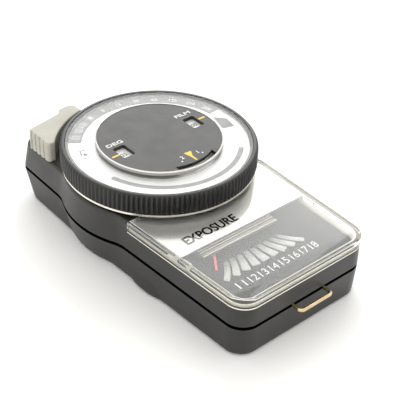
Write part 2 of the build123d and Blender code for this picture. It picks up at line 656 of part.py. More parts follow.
# ---------------------------------------------------------------- circuit board
with BuildPart() as circuit_board:
    with BuildSketch(Plane.XY.offset(BOARD_Z)) as board_plan:
        with Locations((-1.0, 23.9)):
            RectangleRounded(42.0, 19.8, 1.0)
    extrude(amount=1.0)
save(circuit_board.part, "circuit_board")

RESISTOR_ROWS = (17.0, 20.0, 23.0)
RESISTOR_START = 5.0
RESISTOR_RADIUS = 0.95
with BuildPart() as resistors:
    for y in RESISTOR_ROWS:
        with BuildSketch(Plane.YZ.offset(RESISTOR_START)) as resistor:
            with Locations((y, BOARD_Z + 1.0 + RESISTOR_RADIUS + 0.05)):
                Circle(RESISTOR_RADIUS)
        extrude(amount=6.0)
save(resistors.part, "resistors")

TRIMMERS = ((-8.0, 21.0), (-8.0, 28.0))
with BuildPart() as trimmers:
    with BuildSketch(Plane.XY.offset(BOARD_Z + 1.0)) as trimmer_plan:
        with Locations(*TRIMMERS):
            Rectangle(5.0, 5.0)
    extrude(amount=2.2)
    with BuildSketch(Plane.XY.offset(BOARD_Z + 3.2)) as trimmer_rotor:
        with Locations(*TRIMMERS):
            Circle(1.8)
    extrude(amount=0.5)
    with BuildSketch(Plane.XY.offset(BOARD_Z + 3.4)) as trimmer_slot:
        with Locations(*TRIMMERS):
            Rectangle(4.0, 0.6)
    extrude(amount=0.5, mode=Mode.SUBTRACT)
save(trimmers.part, "trimmers")

# ---------------------------------------------------------------- battery
with BuildPart() as button_cell:
    with BuildSketch(Plane.XY.offset(CELL_BOTTOM + 1.2)) as can_plan:
        with Locations(BATTERY):
            Circle(CELL_RADIUS)
    extrude(amount=CELL_HEIGHT - 1.2)
    with BuildSketch(Plane.XY.offset(CELL_BOTTOM)) as button_plan:
        with Locations(BATTERY):
            Circle(CELL_RADIUS - 1.2)
    extrude(amount=1.2)
save(button_cell.part, "button_cell")

with BuildPart() as top_contact:
    with BuildSketch(Plane.XY.offset(CELL_BOTTOM + CELL_HEIGHT + 0.05)) as contact_plan:
        with Locations((BATTERY[0], BATTERY[1])):
            Rectangle(14.0, 4.0)
    extrude(amount=0.3)
    with BuildSketch(Plane.XY.offset(CELL_BOTTOM + CELL_HEIGHT + 0.05)) as riser_plan:
        with Locations((BATTERY[0] - 6.85, BATTERY[1])):
            Rectangle(0.3, 4.0)
    extrude(amount=BOARD_Z - CELL_BOTTOM - CELL_HEIGHT - 0.05)
save(top_contact.part, "top_contact")

with BuildPart() as side_contact:
    with BuildSketch(Plane.XY.offset(4.2)) as side_contact_plan:
        with Locations((BATTERY[0] - CELL_RADIUS - 0.4, BATTERY[1])):
            Rectangle(0.3, 3.0)
    extrude(amount=BOARD_Z - 4.2)
save(side_contact.part, "side_contact")

with BuildPart() as battery_cap:
    with BuildSketch(Plane.XY.offset(0.15)) as battery_cap_plan:
        with Locations(BATTERY):
            Circle(CAP_RADIUS)
    extrude(amount=CAP_THICKNESS)
    with BuildSketch(Plane.XY.offset(CAP_THICKNESS)) as cap_boss:
        with Locations(BATTERY):
            Circle(6.0)
    extrude(amount=CELL_BOTTOM - CAP_THICKNESS - 0.1)
    with BuildSketch(Plane.XY) as coin_slot:
        with Locations(BATTERY):
            SlotOverall(12.0, 1.6, rotation=20)
    extrude(amount=1.1, mode=Mode.SUBTRACT)
save(battery_cap.part, "battery_cap")

# ---------------------------------------------------------------- measure button and its switch
BUTTON_TRAVEL = 1.5
BUTTON_INNER = 19.0  # inner end of the button, resting against the moving leaf
LEAF_THICKNESS = 0.25
LEAF_Z = 11.6
MOVING_LEAF_X = BUTTON_INNER - 0.3
FIXED_LEAF_X = BUTTON_INNER - BUTTON_TRAVEL - 0.4
BLOCK_TOP = 15.0
with BuildPart() as measure_button:
    with BuildSketch(Plane.YZ.offset(BUTTON_INNER)) as button_plan_yz:
        with Locations((BUTTON_Y, BUTTON_Z)):
            RectangleRounded(BUTTON_WIDTH, BUTTON_HEIGHT, 1.1)
    extrude(amount=side_x(BUTTON_Y) + 2.0 - BUTTON_INNER)
    fillet(measure_button.faces().sort_by(Axis.X)[-1].edges(), 0.6)
    with BuildSketch(Plane.YZ.offset(side_x(BUTTON_Y) - WALL - 1.3)) as button_flange:
        with Locations((BUTTON_Y, BUTTON_Z)):
            Rectangle(BUTTON_WIDTH + 2.6, BUTTON_HEIGHT)
    extrude(amount=0.8)
save(measure_button.part, "measure_button")

with BuildPart() as switch_block:
    with BuildSketch(Plane.XY.offset(WALL)) as block_plan:
        with Locations((17.6, BUTTON_Y + 8.0)):
            Rectangle(4.4, 3.0)
    extrude(amount=BLOCK_TOP - WALL)
save(switch_block.part, "switch_block")

with BuildPart() as moving_leaf:
    with BuildSketch(Plane.XY.offset(LEAF_Z)) as moving_leaf_plan:
        with Locations((MOVING_LEAF_X, BUTTON_Y + 1.25)):
            Rectangle(LEAF_THICKNESS, 10.5)
    extrude(amount=2.8)
save(moving_leaf.part, "moving_leaf")

with BuildPart() as fixed_leaf:
    with BuildSketch(Plane.XY.offset(LEAF_Z)) as fixed_leaf_plan:
        with Locations((FIXED_LEAF_X, BUTTON_Y + 1.25)):
            Rectangle(LEAF_THICKNESS, 10.5)
    extrude(amount=2.8)
save(fixed_leaf.part, "fixed_leaf")

# ---------------------------------------------------------------- moving-coil movement
PILLARS = [(PIVOT[0] - 11.5, PIVOT[1] + 5.5), (PIVOT[0] + 11.5, PIVOT[1] + 5.5)]
FRAME_TOP = FRAME_Z + 1.2
BRIDGE_Z = 17.95
YOKE_Z = 9.6
YOKE_HEIGHT = 5.0
JEWEL_RADIUS = 1.2
TIP_RADIUS = 0.25
with BuildPart() as movement_frame:
    with BuildSketch(Plane.XY.offset(FRAME_Z)) as frame_plan:
        with Locations((PIVOT[0], PIVOT[1] + 0.5)):
            RectangleRounded(30.0, 15.0, 1.5)
        with Locations(PIVOT):
            Circle(JEWEL_RADIUS, mode=Mode.SUBTRACT)
        with Locations(*MOVEMENT_SCREWS):
            Circle(0.9, mode=Mode.SUBTRACT)
    extrude(amount=FRAME_TOP - FRAME_Z)
    with BuildSketch(Plane.XY.offset(FRAME_TOP)) as pillar_plan:
        with Locations(*PILLARS):
            Circle(1.4)
    extrude(amount=BRIDGE_Z - FRAME_TOP)
    with BuildSketch(Plane.XY.offset(FRAME_TOP)) as yoke_pads:
        with Locations((PIVOT[0] - 8.7, PIVOT[1]), (PIVOT[0] + 8.7, PIVOT[1])):
            Rectangle(1.6, 4.0)
    extrude(amount=YOKE_Z - FRAME_TOP)
save(movement_frame.part, "movement_frame")

with BuildPart() as movement_bridge:
    with BuildSketch(Plane.XY.offset(BRIDGE_Z)) as bridge_plan:
        with Locations((PIVOT[0], PIVOT[1] + 5.5)):
            SlotOverall(26.6, 3.6)
        with Locations((PIVOT[0], PIVOT[1] + 2.5)):
            Rectangle(4.4, 6.0)
        with Locations(PIVOT):
            Circle(2.2)
            Circle(JEWEL_RADIUS, mode=Mode.SUBTRACT)
    extrude(amount=0.8)
save(movement_bridge.part, "movement_bridge")

with BuildPart() as yoke_ring:
    with BuildSketch(Plane.XY.offset(YOKE_Z)) as yoke_plan:
        with Locations(PIVOT):
            Circle(9.6)
            Circle(7.6, mode=Mode.SUBTRACT)
    extrude(amount=YOKE_HEIGHT)
save(yoke_ring.part, "yoke_ring")

with BuildPart() as magnet_core:
    with BuildSketch(Plane.XY.offset(YOKE_Z + 0.4)) as core_plan:
        with Locations(PIVOT):
            Circle(4.6)
            Rectangle(2.4, 15.0)
    extrude(amount=YOKE_HEIGHT - 0.8)
save(magnet_core.part, "magnet_core")

COIL_REST = -38.0
with BuildPart() as moving_coil:
    coil_plane = Plane(
        origin=(*PIVOT, 0),
        x_dir=(*polar(1.0, COIL_REST), 0),
        z_dir=(*polar(1.0, COIL_REST - 90), 0),
    )
    with BuildSketch(coil_plane.offset(-0.7)) as coil_section:
        with Locations((0, 12.1)):
            RectangleRounded(13.4, 7.0, 0.8)
            RectangleRounded(10.4, 5.4, 0.4, mode=Mode.SUBTRACT)
    extrude(amount=1.4)
save(moving_coil.part, "moving_coil")

# Upper and lower half staff, each a thick length and a fine tip: lowest z, highest z, radius.
STAFF_STEPS = (
    (15.6, 17.9, 0.5),
    (17.9, 18.3, TIP_RADIUS),
    (7.9, 8.6, 0.5),
    (7.2, 7.9, TIP_RADIUS),
)
with BuildPart() as needle_staff:
    for low, high, radius in STAFF_STEPS:
        with BuildSketch(Plane.XY.offset(low)) as staff_step:
            with Locations(PIVOT):
                Circle(radius)
        extrude(amount=high - low)
save(needle_staff.part, "needle_staff")

with BuildPart() as jewel_screws:
    with BuildSketch(Plane.XY.offset(BRIDGE_Z)) as upper_jewel:
        with Locations(PIVOT):
            Circle(JEWEL_RADIUS)
    extrude(amount=0.8)
    with BuildSketch(Plane.XY.offset(FRAME_Z - 0.4)) as lower_jewel:
        with Locations(PIVOT):
            Circle(JEWEL_RADIUS)
    extrude(amount=FRAME_TOP - FRAME_Z + 0.4)
    with BuildSketch(Plane.XY.offset(7.1)) as pivot_cups:
        with Locations(PIVOT):
            Circle(TIP_RADIUS + SHAFT_CLEARANCE)
    extrude(amount=18.4 - 7.1, mode=Mode.SUBTRACT)
save(jewel_screws.part, "jewel_screws")

with BuildPart() as needle:
    needle_plane = Plane(
        origin=(*PIVOT, NEEDLE_Z - 0.12), x_dir=(*polar(1.0, NEEDLE_REST), 0), z_dir=(0, 0, 1)
    )
    with BuildSketch(needle_plane) as needle_plan:
        Circle(1.3)
        with Locations((NEEDLE_LENGTH / 2, 0)):
            Rectangle(NEEDLE_LENGTH, 0.7)
        with Locations((-2.4, 0)):
            Rectangle(4.0, 1.0)
        Circle(0.5, mode=Mode.SUBTRACT)
    extrude(amount=0.24)
save(needle.part, "needle")


def spiral_spring(z, inner, outer, turns):
    """Flat spiral spring of half-circle strips whose radius grows by the same amount each half turn."""
    growth = (outer - inner) / (2 * turns)
    with BuildPart() as spring:
        for half_turn in range(2 * turns):
            radius = inner + growth * (half_turn + 0.5)
            shift = growth / 2 * (1 if half_turn % 2 else -1)
            with BuildSketch(Plane.XY.offset(z)):
                with Locations((PIVOT[0] + shift, PIVOT[1])):
                    Circle(radius + 0.06)
                    Circle(radius - 0.06, mode=Mode.SUBTRACT)
                with Locations((PIVOT[0], PIVOT[1] + (6 if half_turn % 2 else -6))):
                    Rectangle(20, 12, mode=Mode.INTERSECT)
            extrude(amount=0.3)
        with BuildSketch(Plane.XY.offset(z)):
            with Locations(PIVOT):
                Circle(inner + 0.06)
                Circle(0.5, mode=Mode.SUBTRACT)
        extrude(amount=0.3)
    return spring.part


with BuildPart() as hairsprings:
    add(spiral_spring(16.3, 0.9, 3.3, 4))
    add(spiral_spring(8.1, 0.9, 3.3, 4))
save(hairsprings.part, "hairsprings")

with BuildPart() as zero_adjuster:
    with BuildSketch(Plane.XY.offset(0.3)) as adjuster_plan:
        with Locations(PIVOT):
            Circle(2.5)
    extrude(amount=3.9)
    with BuildSketch(Plane.XY.offset(4.2)) as adjuster_pin:
        with Locations((PIVOT[0] + 1.2, PIVOT[1])):
            Circle(0.5)
    extrude(amount=1.6)
    with BuildSketch(Plane.XY) as adjuster_slot:
        with Locations(PIVOT):
            Rectangle(6.0, 0.8)
    extrude(amount=1.1, mode=Mode.SUBTRACT)
save(zero_adjuster.part, "zero_adjuster")

# ---------------------------------------------------------------- fasteners and strap loop
with BuildPart() as case_screws:
    with BuildSketch(Plane.XY.offset(0.5)) as screw_heads:
        with Locations(*CASE_SCREWS):
            Circle(SCREW_HEAD_RADIUS)
    extrude(amount=SCREW_HEAD_TOP - 0.5)
    with BuildSketch(Plane.XY.offset(SCREW_HEAD_TOP)) as screw_shanks:
        with Locations(*CASE_SCREWS):
            Circle(SCREW_RADIUS)
    extrude(amount=SCREW_TIP - SCREW_HEAD_TOP)
    with BuildSketch(Plane.XY.offset(0.5)) as cross_recesses:
        with Locations(*CASE_SCREWS):
            Rectangle(2.2, 0.5)
            Rectangle(0.5, 2.2)
    extrude(amount=0.8, mode=Mode.SUBTRACT)
save(case_screws.part, "case_screws")

with BuildPart() as movement_screws:
    with BuildSketch(Plane.XY.offset(FRAME_TOP)) as movement_heads:
        with Locations(*MOVEMENT_SCREWS):
            Circle(1.5)
    extrude(amount=0.9)
    with BuildSketch(Plane.XY.offset(3.2)) as movement_shanks:
        with Locations(*MOVEMENT_SCREWS):
            Circle(0.8)
    extrude(amount=FRAME_TOP - 3.2)
save(movement_screws.part, "movement_screws")

with BuildPart() as strap_loop:
    crossbar_y = NEAR_END - LOOP_REACH + LOOP_WIRE
    with BuildLine() as loop_path:
        FilletPolyline(
            (LOOP_X - LOOP_HALF, NEAR_END + 3.0, SEAM_Z),
            (LOOP_X - LOOP_HALF, crossbar_y, SEAM_Z),
            (LOOP_X + LOOP_HALF, crossbar_y, SEAM_Z),
            (LOOP_X + LOOP_HALF, NEAR_END + 3.0, SEAM_Z),
            radius=1.2,
        )
    with BuildSketch(Plane(origin=loop_path.line @ 0, z_dir=loop_path.line % 0)) as wire_section:
        Circle(LOOP_WIRE)
    sweep(path=loop_path.line)
save(strap_loop.part, "strap_loop")
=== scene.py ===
"""Looks of a handheld light meter: knurled dial, printed scales, clear cover and satin black casing.

Everything is in metres in the CAD frame: the dial axis is X = Y = 0, +Y points to the sensor head, and the
meter lies on Z = 0. Lengths below are written in millimetres and turned into metres by MM.
"""
import json
from math import cos, radians, sin, tau

import bmesh
import bpy
from mathutils import Matrix, Vector


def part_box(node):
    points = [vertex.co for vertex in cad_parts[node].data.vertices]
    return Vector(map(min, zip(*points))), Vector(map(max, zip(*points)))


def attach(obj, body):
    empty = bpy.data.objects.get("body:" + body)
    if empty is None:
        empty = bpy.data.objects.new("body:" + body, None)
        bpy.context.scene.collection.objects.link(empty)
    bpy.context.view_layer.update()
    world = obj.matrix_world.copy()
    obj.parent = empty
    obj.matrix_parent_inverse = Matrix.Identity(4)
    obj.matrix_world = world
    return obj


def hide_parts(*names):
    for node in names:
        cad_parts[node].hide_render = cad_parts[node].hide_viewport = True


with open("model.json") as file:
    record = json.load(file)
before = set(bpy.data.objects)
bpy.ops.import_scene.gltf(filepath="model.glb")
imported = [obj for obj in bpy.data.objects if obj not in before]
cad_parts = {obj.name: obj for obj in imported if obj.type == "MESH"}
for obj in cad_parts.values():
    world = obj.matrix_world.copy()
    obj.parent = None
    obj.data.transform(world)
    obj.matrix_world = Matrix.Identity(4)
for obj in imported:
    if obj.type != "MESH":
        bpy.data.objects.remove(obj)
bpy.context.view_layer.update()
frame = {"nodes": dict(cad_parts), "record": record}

MM = 0.001
NODES = frame["nodes"]
SPEED_RIM = 0.32  # width of the bright rim around the film-speed disc
SPEED_RIM_HEIGHT = 0.33
SPEED_FACE_DROP = 0.08  # how far the disc's printed face lies below the rim
SEAM_Z = 10.4  # middle of the groove between the shells
SEAM_GAP = 1.1
# Painted shade: the groove is painted near black to stand in for the deep shade in the gap.
SEAM_MARGIN = 0.02  # how far the groove's black reaches past it


def polar(radius, angle, centre=(0.0, 0.0)):
    """Point in millimetres at a radius and an angle in degrees from a centre."""
    return centre[0] + radius * cos(radians(angle)), centre[1] + radius * sin(radians(angle))


# ------------------------------------------------------------------ camera
CAMERA_PLACE = (-164.13, -200.08, 195.30)
CAMERA_AZIMUTH = -42.248
CAMERA_ELEVATION = 36.095
CAMERA_ROLL = 2.511
LENS = 91.63
SENSOR = 36.0


def make_camera():
    azimuth, elevation, roll = (radians(a) for a in (CAMERA_AZIMUTH, CAMERA_ELEVATION, CAMERA_ROLL))
    back = Vector((sin(azimuth) * cos(elevation), -cos(azimuth) * cos(elevation), sin(elevation)))
    level = Vector((cos(azimuth), sin(azimuth), 0))
    rise = back.cross(level)
    right = level * cos(roll) + rise * sin(roll)
    up = rise * cos(roll) - level * sin(roll)
    data = bpy.data.cameras.new("camera")
    data.lens = LENS
    data.sensor_width = SENSOR
    data.clip_start = 0.01
    camera = bpy.data.objects.new("camera", data)
    turn = Matrix((right, up, back)).transposed().to_4x4()
    camera.matrix_world = Matrix.Translation(Vector(CAMERA_PLACE) * MM) @ turn
    bpy.context.scene.collection.objects.link(camera)
    bpy.context.scene.camera = camera


make_camera()


# ------------------------------------------------------------------ node helpers
class Nodes:
    """Short calls for building one material's node tree."""

    def __init__(self, name):
        self.material = bpy.data.materials.new(name)
        self.material.use_nodes = True
        self.tree = self.material.node_tree
        self.shader = self.tree.nodes["Principled BSDF"]
        self.output = self.tree.nodes["Material Output"]
        self.place = self.add("ShaderNodeTexCoord").outputs["Object"]

    def add(self, kind, **values):
        node = self.tree.nodes.new(kind)
        for key, value in values.items():
            setattr(node, key, value)
        return node

    def link(self, source, target):
        self.tree.links.new(source, target)

    def feed(self, socket, value):
        """Link an output, or set a plain value."""
        if isinstance(value, bpy.types.NodeSocket):
            self.link(value, socket)
        else:
            socket.default_value = value

    def math(self, operation, first, second=0.0):
        node = self.add("ShaderNodeMath", operation=operation)
        self.feed(node.inputs[0], first)
        self.feed(node.inputs[1], second)
        return node.outputs[0]

    def stretched(self, scale):
        node = self.add("ShaderNodeMapping")
        self.link(self.place, node.inputs["Vector"])
        node.inputs["Scale"].default_value = scale
        return node.outputs[0]

    def noise(self, size, detail=3.0, vector=None, seed=0.0):
        """Noise whose features are about size millimetres across."""
        node = self.add("ShaderNodeTexNoise", noise_dimensions="4D")
        self.link(vector or self.place, node.inputs["Vector"])
        node.inputs["Scale"].default_value = 1 / (size * MM)
        node.inputs["Detail"].default_value = detail
        node.inputs["W"].default_value = seed
        return node.outputs["Fac"]

    def spread(self, value, low, high, start=0.35, end=0.65):
        """Value from start to end, spread over low to high."""
        node = self.add("ShaderNodeMapRange")
        for socket, number in zip(node.inputs[:5], (value, start, end, low, high)):
            self.feed(socket, number)
        return node.outputs[0]

    def blend(self, share, first, second):
        node = self.add("ShaderNodeMix", data_type="RGBA")
        self.feed(node.inputs[0], share)
        self.feed(node.inputs[6], first)
        self.feed(node.inputs[7], second)
        return node.outputs[2]

    def bevel(self, radius):
        node = self.add("ShaderNodeBevel", samples=6)
        node.inputs["Radius"].default_value = radius * MM
        return node.outputs[0]

    def edges(self, radius):
        """Share of wear: 0 on a flat, 1 on an edge."""
        dot = self.add("ShaderNodeVectorMath", operation="DOT_PRODUCT")
        self.link(self.bevel(radius), dot.inputs[0])
        self.link(self.add("ShaderNodeNewGeometry").outputs["Normal"], dot.inputs[1])
        turned = self.math("SUBTRACT", 1.0, dot.outputs["Value"])
        return self.spread(turned, 0.0, 1.0, 0.004, 0.09)

    def bump(self, height, depth, strength=1.0, normal=None):
        """depth is how far the surface moves, in millimetres."""
        node = self.add("ShaderNodeBump")
        node.inputs["Strength"].default_value = strength
        node.inputs["Distance"].default_value = depth * MM
        self.feed(node.inputs["Height"], height)
        if normal is not None:
            self.link(normal, node.inputs["Normal"])
        return node.outputs[0]


def grey(value, warm=0.0):
    return (value * (1 + warm), value, value * (1 - warm), 1.0)


def mottled(
    name,
    dark,
    light,
    rough=(0.3, 0.45),
    metallic=0.0,
    patch=9.0,
    grain=0.35,
    depth=0.01,
    round_off=0.15,
    worn=None,
    stretch=None,
    specular=0.5,
):
    """Nodes of a surface with patches of two colours, a fine grain in height, uneven gloss and worn edges."""
    n = Nodes(name)
    vector = n.stretched(stretch) if stretch else None
    patches = n.noise(patch, 4.0)
    fine = n.noise(grain, 4.0, vector)
    mix = n.math("ADD", n.math("MULTIPLY", patches, 0.6), n.math("MULTIPLY", fine, 0.4))
    colour = n.blend(n.spread(mix, 0.0, 1.0), dark, light)
    if worn is not None:
        rubbed = n.spread(n.noise(2.5, 5.0, seed=3.0), 0.1, 0.8)
        scuffed = n.math("MULTIPLY", n.edges(round_off * 1.6), rubbed)
        colour = n.blend(scuffed, colour, worn)
    n.link(colour, n.shader.inputs["Base Color"])
    broad = n.math("MULTIPLY", n.noise(14.0, 3.0, seed=7.0), 0.7)
    smudges = n.math("ADD", broad, n.math("MULTIPLY", fine, 0.3))
    n.link(n.spread(smudges, *rough), n.shader.inputs["Roughness"])
    n.shader.inputs["Metallic"].default_value = metallic
    n.shader.inputs["Specular IOR Level"].default_value = specular
    edge_normal = n.bevel(round_off) if round_off else None
    n.link(n.bump(fine, depth, 0.6, edge_normal), n.shader.inputs["Normal"])
    return n


def surface(name, dark, light, **finish):
    """Material of a mottled surface."""
    return mottled(name, dark, light, **finish).material


# ------------------------------------------------------------------ materials
def casing_plastic():
    """Satin black moulding with a fine eroded grain, greyed edges and painted shade in the groove between the
    shells.
    """
    n = mottled(
        "casing_plastic", grey(0.013, 0.02), grey(0.023, 0.04), rough=(0.34, 0.46), grain=0.28, depth=0.012,
        round_off=0.35, worn=grey(0.06),
    )
    split = n.add("ShaderNodeSeparateXYZ")
    n.link(n.place, split.inputs[0])
    # Painted shade: inside the groove the colour goes near black and the gloss is turned off, in place of the
    # shade deep in the gap.
    groove = n.add("ShaderNodeMath", operation="COMPARE")
    n.link(split.outputs[2], groove.inputs[0])
    groove.inputs[1].default_value = SEAM_Z * MM
    groove.inputs[2].default_value = (SEAM_GAP / 2 + SEAM_MARGIN) * MM
    n.link(n.spread(groove.outputs[0], 0.5, 0.0, 0.0, 1.0), n.shader.inputs["Specular IOR Level"])
    colour = n.shader.inputs["Base Color"]
    n.link(n.blend(groove.outputs[0], colour.links[0].from_socket, grey(0.002)), colour)
    return n.material


def dial_plastic():
    return surface(
        "dial_plastic", grey(0.010), grey(0.022, 0.03), rough=(0.30, 0.44), grain=0.22, depth=0.008,
        round_off=0.10, worn=grey(0.09),
    )


def knob_plastic():
    return surface(
        "knob_grey", (0.36, 0.35, 0.295, 1), (0.45, 0.44, 0.375, 1), rough=(0.40, 0.55), grain=0.30,
        depth=0.010, round_off=0.3, worn=(0.72, 0.70, 0.63, 1),
    )


def black_film():
    """Satin black of the film-speed disc, with a thin bright rim and a pale side below it."""
    n = Nodes("black_disc")
    split = n.add("ShaderNodeSeparateXYZ")
    n.link(n.place, split.inputs[0])
    x, y, z = split.outputs
    radius = n.math("SQRT", n.math("ADD", n.math("MULTIPLY", x, x), n.math("MULTIPLY", y, y)))
    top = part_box("speed_disc")[1]
    outside = n.math("GREATER_THAN", radius, top.x - SPEED_RIM * MM)
    high = n.math("GREATER_THAN", z, top.z - SPEED_RIM_HEIGHT * MM)
    flank = n.math("GREATER_THAN", radius, top.x - 0.05 * MM)
    side = n.math("MULTIPLY", flank, n.math("SUBTRACT", 1.0, high))
    rim = n.math("MULTIPLY", outside, high)
    base = n.blend(n.spread(n.noise(8.0, 5.0), 0.0, 1.0), grey(0.012), grey(0.020, 0.05))
    pale = n.blend(n.noise(1.5, 4.0), grey(0.42, 0.02), grey(0.52, 0.02))
    bright = n.blend(n.noise(0.12, 2.0), grey(0.70, 0.02), grey(0.90, 0.02))
    n.link(n.blend(rim, n.blend(side, base, pale), bright), n.shader.inputs["Base Color"])
    n.link(rim, n.shader.inputs["Metallic"])
    satin = n.spread(n.noise(5.0, 4.0, seed=2.0), 0.34, 0.42)
    n.link(n.blend(rim, satin, grey(0.25)), n.shader.inputs["Roughness"])
    n.link(n.bump(n.noise(0.25, 3.0), 0.002, 0.4, n.bevel(0.05)), n.shader.inputs["Normal"])
    return n.material


def satin_plate():
    """Silver plate with a fine grain along X."""
    return surface(
        "satin_plate", grey(0.72), grey(0.79, 0.01), rough=(0.46, 0.56), metallic=0.60, patch=18.0,
        grain=0.20, depth=0.0015, round_off=0.08, stretch=(0.06, 1.0, 1.0),
    )


def metal(name, dark, light, rough, grain=0.2, stretch=None, worn=None):
    return surface(
        name, dark, light, rough=rough, metallic=1.0, patch=4.0, grain=grain, depth=0.003, round_off=0.08,
        stretch=stretch, worn=worn,
    )


def plastic(name, dark, light, rough=(0.35, 0.5), grain=0.3, worn=None):
    return surface(name, dark, light, rough=rough, grain=grain, depth=0.008, round_off=0.12, worn=worn)


def ink(name, dark, light):
    """Flat printing ink with a slightly uneven coat."""
    return surface(
        name, dark, light, rough=(0.6, 0.8), grain=0.1, depth=0.001, round_off=0.0, specular=0.06,
    )


def clear(name, tint, roughness=0.012):
    """Clear acrylic that lets lamps through, with a few faint wipe marks in its gloss."""
    n = Nodes(name)
    n.shader.inputs["Transmission Weight"].default_value = 1.0
    n.shader.inputs["IOR"].default_value = 1.49
    hazy = n.spread(n.noise(6.0, 5.0), 0.0, 1.0, 0.4, 0.75)
    clearer = [min(1.0, value * 1.02) for value in tint[:3]] + [1]
    n.link(n.blend(hazy, tint, clearer), n.shader.inputs["Base Color"])
    wiped = n.spread(n.noise(3.0, 6.0, seed=5.0), roughness * 0.5, roughness * 2.0)
    n.link(wiped, n.shader.inputs["Roughness"])
    through = n.add("ShaderNodeBsdfTransparent")
    through.inputs[0].default_value = tint
    mix = n.add("ShaderNodeMixShader")
    n.link(n.add("ShaderNodeLightPath").outputs["Is Shadow Ray"], mix.inputs[0])
    n.link(n.shader.outputs[0], mix.inputs[1])
    n.link(through.outputs[0], mix.inputs[2])
    n.link(mix.outputs[0], n.output.inputs["Surface"])
    return n.material


STEEL = (grey(0.42), grey(0.60))
BRASS = ((0.52, 0.36, 0.13, 1), (0.72, 0.53, 0.24, 1))

MATERIALS = {
    "casing_plastic": casing_plastic(),
    "dial_plastic": dial_plastic(),
    "knob_grey": knob_plastic(),
    "black_disc": black_film(),
    "satin_plate": satin_plate(),
    "clear_acrylic": clear("clear_acrylic", (0.985, 0.988, 0.962, 1)),
    "clear_disc": clear("clear_disc", (0.98, 0.985, 0.975, 1)),
    "lens_plastic": clear("lens_plastic", (0.86, 0.89, 0.87, 1), 0.12),
    "scale_grey": surface(
        "scale_grey", grey(0.022), grey(0.032), rough=(0.50, 0.62), grain=0.5, depth=0.0006, specular=0.06,
    ),
    "white_enamel": plastic("white_enamel", grey(0.80), grey(0.92, 0.01), (0.35, 0.5), worn=grey(0.60)),
    "white_disc": surface(
        "white_disc", grey(0.72), grey(0.79, 0.005), rough=(0.34, 0.46), grain=0.4, depth=0.002, patch=14.0,
    ),
    "brass": metal("brass", *BRASS, (0.25, 0.4)),
    "loop_wire": metal("loop_wire", (0.60, 0.47, 0.26, 1), (0.78, 0.66, 0.42, 1), (0.14, 0.26),
                       worn=grey(0.85)),
    "trim_nickel": metal("trim_nickel", (0.80, 0.76, 0.68, 1), (0.92, 0.89, 0.82, 1), (0.20, 0.32)),
    "spring_steel": metal("spring_steel", *STEEL, (0.22, 0.36), stretch=(0.1, 1.0, 1.0)),
    "screw_steel": metal("screw_steel", grey(0.34), grey(0.55), (0.25, 0.4), worn=grey(0.8)),
    "soft_iron": metal("soft_iron", grey(0.22), grey(0.36, 0.03), (0.35, 0.5)),
    "cell_can": metal("cell_can", grey(0.5), grey(0.68), (0.2, 0.32)),
    "movement_alloy": metal("movement_alloy", grey(0.5), grey(0.66, 0.02), (0.35, 0.5), grain=0.4),
    "coil_copper": metal("coil_copper", (0.55, 0.2, 0.08, 1), (0.75, 0.34, 0.15, 1), (0.25, 0.4), grain=0.12,
                         stretch=(1.0, 1.0, 0.1)),
    "needle_red": plastic("needle_red", (0.60, 0.02, 0.02, 1), (0.78, 0.05, 0.04, 1), (0.35, 0.5)),
    "clamp_cream": plastic("clamp_cream", (0.10, 0.095, 0.085, 1), (0.15, 0.14, 0.125, 1), (0.3, 0.45)),
    "black_plastic": plastic("black_plastic", grey(0.012), grey(0.025), (0.4, 0.55)),
    "button_plastic": plastic("button_plastic", grey(0.012), grey(0.024), (0.3, 0.42), worn=grey(0.08)),
    "cap_plastic": plastic("cap_plastic", grey(0.011), grey(0.022), (0.36, 0.5), worn=grey(0.10)),
    "cell_ceramic": plastic("cell_ceramic", (0.42, 0.13, 0.06, 1), (0.60, 0.24, 0.12, 1), grain=0.2),
    "board_laminate": plastic("board_laminate", (0.20, 0.13, 0.05, 1), (0.30, 0.20, 0.09, 1), grain=0.15),
    "resistor_body": plastic("resistor_body", (0.50, 0.36, 0.20, 1), (0.64, 0.48, 0.29, 1)),
    "trimmer_plastic": plastic("trimmer_plastic", (0.04, 0.13, 0.34, 1), (0.08, 0.22, 0.50, 1)),
}
PRINT_WHITE = ink("print_white", grey(0.74), grey(0.84))
PRINT_BLACK = ink("print_black", grey(0.004), grey(0.012))
PRINT_GREY = ink("print_grey", grey(0.085), grey(0.115))
PRINT_TAB = ink("print_tab", grey(0.008), grey(0.020))
PRINT_PALE = ink("print_pale", grey(0.10), grey(0.13))
PRINT_BOX = ink("print_box", grey(0.26), grey(0.36))
RIDGE_CREAM = plastic("ridge_cream", (0.74, 0.67, 0.54, 1), (0.88, 0.83, 0.72, 1), (0.3, 0.45))
# Cement, made near white so that it also paints the highlight along the cover's foot and the pale band in its
# walls.
CEMENT_PAINTED_HIGHLIGHT = plastic("cement_painted_highlight", (0.86, 0.84, 0.74, 1), (0.95, 0.94, 0.87, 1), (0.3, 0.5), grain=0.6)
PRINT_YELLOW = plastic("print_yellow", (0.78, 0.47, 0.02, 1), (0.90, 0.60, 0.06, 1), (0.35, 0.5), grain=0.1)


def dress_nodes():
    """Give every CAD node the material of its slot in the record."""
    for part in frame["record"]["subparts"]:
        node = NODES[part["node"]]
        material = MATERIALS[part["material_slot"]]
        if not node.data.materials:
            node.data.materials.append(material)
        for index in range(len(node.data.materials)):
            node.data.materials[index] = material


dress_nodes()


# ------------------------------------------------------------------ mesh helpers
def add_piece(name, bm, material, body, replaced=()):
    """Link a finished mesh as a named piece that rides on a body."""
    bmesh.ops.recalc_face_normals(bm, faces=bm.faces)
    mesh = bpy.data.meshes.new(name)
    bm.to_mesh(mesh)
    bm.free()
    mesh.materials.append(material)
    piece = bpy.data.objects.new(name, mesh)
    bpy.context.scene.collection.objects.link(piece)
    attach(piece, body)
    if replaced:
        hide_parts(*replaced)
    return piece


